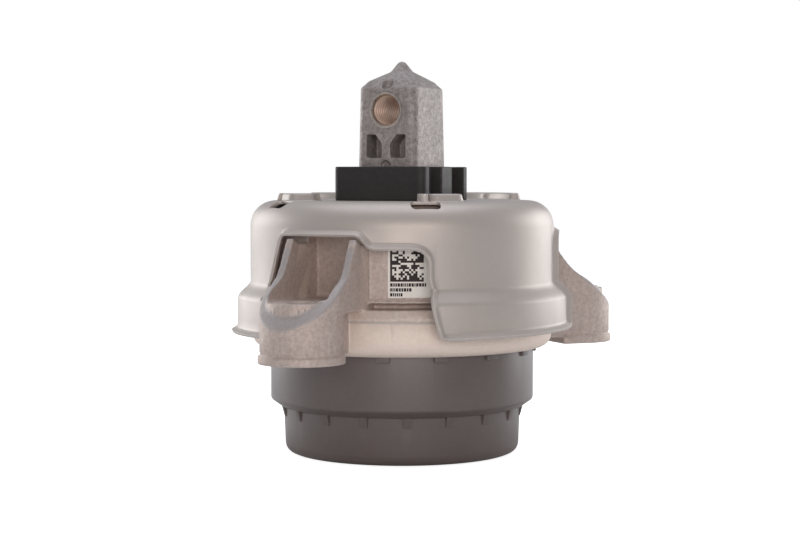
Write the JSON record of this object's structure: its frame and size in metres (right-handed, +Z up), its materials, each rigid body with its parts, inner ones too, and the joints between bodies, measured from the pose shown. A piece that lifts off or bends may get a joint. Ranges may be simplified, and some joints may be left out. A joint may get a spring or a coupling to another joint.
{
  "type": "engine mount",
  "caption": "Hydraulic engine mount: cast core with a cross bore in a rubber spring, cast housing with bolt feet, heat shield and plastic bowl.",
  "frame": {"origin": "middle of the bowl's bottom face, on the mount's axis", "axes": "+Z up along the mount's axis, towards the core; -Y towards the label and the front of the picture; +X towards the right leg"},
  "size_m": [0.1434, 0.1532, 0.1443],
  "materials": {
    "bowl_plastic": "matte, dark taupe glass-filled plastic",
    "rubber": "matte",
    "stop_rubber": "satin moulded rubber",
    "plate_metal": "machined",
    "ring_steel": "satin",
    "housing_casting": "shot-blasted die casting",
    "core_casting": "rough die casting",
    "shield_sheet": "matte pressed sheet",
    "bush_bronze": "satin thread",
    "label_film": "printed film"
  },
  "bodies": {
    "root": {"bowl": "bowl_plastic", "bowl_seal": "rubber", "bellows": "rubber", "lower_channel_plate": "plate_metal", "upper_channel_plate": "plate_metal", "decoupler_membrane": "rubber", "fill_plug": "ring_steel", "spring_ring": "ring_steel", "main_spring": "rubber", "housing": "housing_casting", "heat_shield": "shield_sheet", "label": "label_film", "core": "core_casting", "thread_bush": "bush_bronze", "stop_buffer": "stop_rubber"}
  },
  "joints": []
}
